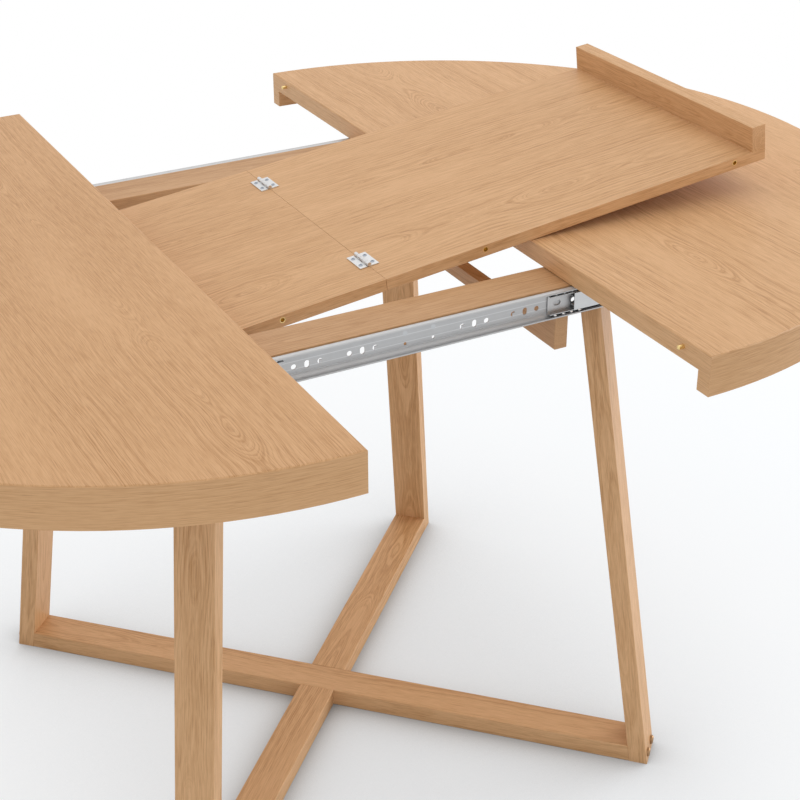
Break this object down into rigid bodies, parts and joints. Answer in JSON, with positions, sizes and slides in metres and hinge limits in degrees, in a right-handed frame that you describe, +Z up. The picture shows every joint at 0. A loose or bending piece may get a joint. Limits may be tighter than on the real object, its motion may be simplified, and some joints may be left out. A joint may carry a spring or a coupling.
{
  "type": "butterfly leaf table",
  "caption": "Round oak dining table, its top drawn apart on ball bearing slides, with a hinged butterfly leaf lying across the opening and crossed floor bars under leaning legs.",
  "frame": {"origin": "on the floor under the middle of the table, midway between the drawn-apart halves", "axes": "+X along the slides toward the half that carries the leaf's raised end, +Y along the cut edges toward the back, +Z up"},
  "size_m": [1.5028, 1.1, 0.8333],
  "materials": {
    "oak_top": "satin lacquered light oak",
    "oak_leaf": "satin lacquered light oak",
    "oak_frame": "satin lacquered light oak",
    "zinc_steel": "bright zinc plated, cold rolled",
    "ball_steel": "polished",
    "hinge_steel": "nickel plated",
    "screw_steel": "zinc plated",
    "brass": "turned, bright",
    "bolt_bronze": "bronze coated, satin"
  },
  "bodies": {
    "base": {"floor_bar_upper": "oak_frame", "floor_bar_lower": "oak_frame", "leg_back_right": "oak_frame", "leg_back_left": "oak_frame", "leg_front_left": "oak_frame", "leg_front_right": "oak_frame", "foot_bolts": "bolt_bronze", "leg_top_bolts": "screw_steel", "cross_beam_left": "oak_frame", "cross_beam_right": "oak_frame", "beam_screws": "screw_steel", "rail_front": "oak_frame", "rail_back": "oak_frame", "slide_channel_front": "zinc_steel", "slide_channel_back": "zinc_steel", "slide_screws": "screw_steel"},
    "leaf_lower": {"leaf_board_left": "oak_leaf", "leaf_lip_left": "oak_leaf", "leaf_sockets_left": "brass", "leaf_pins_left": "brass", "hinge_plates_left": "hinge_steel", "hinge_screws_left": "hinge_steel", "hinge_pins": "hinge_steel"},
    "leaf_upper": {"leaf_board_right": "oak_leaf", "leaf_lip_right": "oak_leaf", "leaf_sockets_right": "brass", "leaf_pins_right": "brass", "hinge_plates_right": "hinge_steel", "hinge_screws_right": "hinge_steel"},
    "right_top": {"right_top_panel": "oak_top", "right_top_rim": "oak_top", "right_edge_pins": "brass", "right_batten_front": "oak_frame", "right_batten_back": "oak_frame", "right_batten_screws": "screw_steel", "right_slide_drawer_front": "zinc_steel", "right_slide_drawer_back": "zinc_steel"},
    "right_middles": {"right_slide_middle_front": "zinc_steel", "right_slide_middle_back": "zinc_steel"},
    "right_outer_cages": {"right_outer_ball_cage_front": "ball_steel", "right_outer_ball_cage_back": "ball_steel"},
    "right_inner_cages": {"right_inner_ball_cage_front": "ball_steel", "right_inner_ball_cage_back": "ball_steel"},
    "left_top": {"left_top_panel": "oak_top", "left_top_rim": "oak_top", "left_edge_sockets": "brass", "left_batten_front": "oak_frame", "left_batten_back": "oak_frame", "left_batten_screws": "screw_steel", "left_slide_drawer_front": "zinc_steel", "left_slide_drawer_back": "zinc_steel"},
    "left_middles": {"left_slide_middle_front": "zinc_steel", "left_slide_middle_back": "zinc_steel"},
    "left_outer_cages": {"left_outer_ball_cage_front": "ball_steel", "left_outer_ball_cage_back": "ball_steel"},
    "left_inner_cages": {"left_inner_ball_cage_front": "ball_steel", "left_inner_ball_cage_back": "ball_steel"}
  },
  "joints": [
    {"name": "right_top_slide", "type": "slide", "parent": "base", "child": "right_top", "axis": [-1, 0, 0], "range_m": [0, 0.2015]},
    {"name": "right_middles_slide", "type": "slide", "parent": "base", "child": "right_middles", "axis": [-1, 0, 0], "range_m": [0, 0.10125]},
    {"name": "right_outer_cages_slide", "type": "slide", "parent": "base", "child": "right_outer_cages", "axis": [-1, 0, 0], "range_m": [0, 0.05088]},
    {"name": "right_inner_cages_slide", "type": "slide", "parent": "base", "child": "right_inner_cages", "axis": [-1, 0, 0], "range_m": [0, 0.15163]},
    {"name": "left_top_slide", "type": "slide", "parent": "base", "child": "left_top", "axis": [1, 0, 0], "range_m": [0, 0.028]},
    {"name": "left_middles_slide", "type": "slide", "parent": "base", "child": "left_middles", "axis": [1, 0, 0], "range_m": [0, 0.0145]},
    {"name": "left_outer_cages_slide", "type": "slide", "parent": "base", "child": "left_outer_cages", "axis": [1, 0, 0], "range_m": [0, 0.0075]},
    {"name": "left_inner_cages_slide", "type": "slide", "parent": "base", "child": "left_inner_cages", "axis": [1, 0, 0], "range_m": [0, 0.0215]},
    {"name": "leaf_tilt", "type": "hinge", "parent": "base", "child": "leaf_lower", "pos_m": [-0.202, 0, 0.696], "axis": [0, -1, 0], "range_deg": [0, 6.8]},
    {"name": "leaf_fold", "type": "hinge", "parent": "leaf_lower", "child": "leaf_upper", "pos_m": [0.00268, 0, 0.73837], "axis": [0, -1, 0], "range_deg": [0, 160]}
  ],
  "couplings": [
    {"joint": "right_middles_slide", "follows": "right_top_slide", "ratio": 0.5},
    {"joint": "right_outer_cages_slide", "follows": "right_top_slide", "ratio": 0.25},
    {"joint": "right_inner_cages_slide", "follows": "right_top_slide", "ratio": 0.75},
    {"joint": "left_middles_slide", "follows": "left_top_slide", "ratio": 0.5},
    {"joint": "left_outer_cages_slide", "follows": "left_top_slide", "ratio": 0.25},
    {"joint": "left_inner_cages_slide", "follows": "left_top_slide", "ratio": 0.75},
    {"joint": "leaf_tilt", "follows": "right_top_slide", "rad_per_m": 0.58}
  ]
}
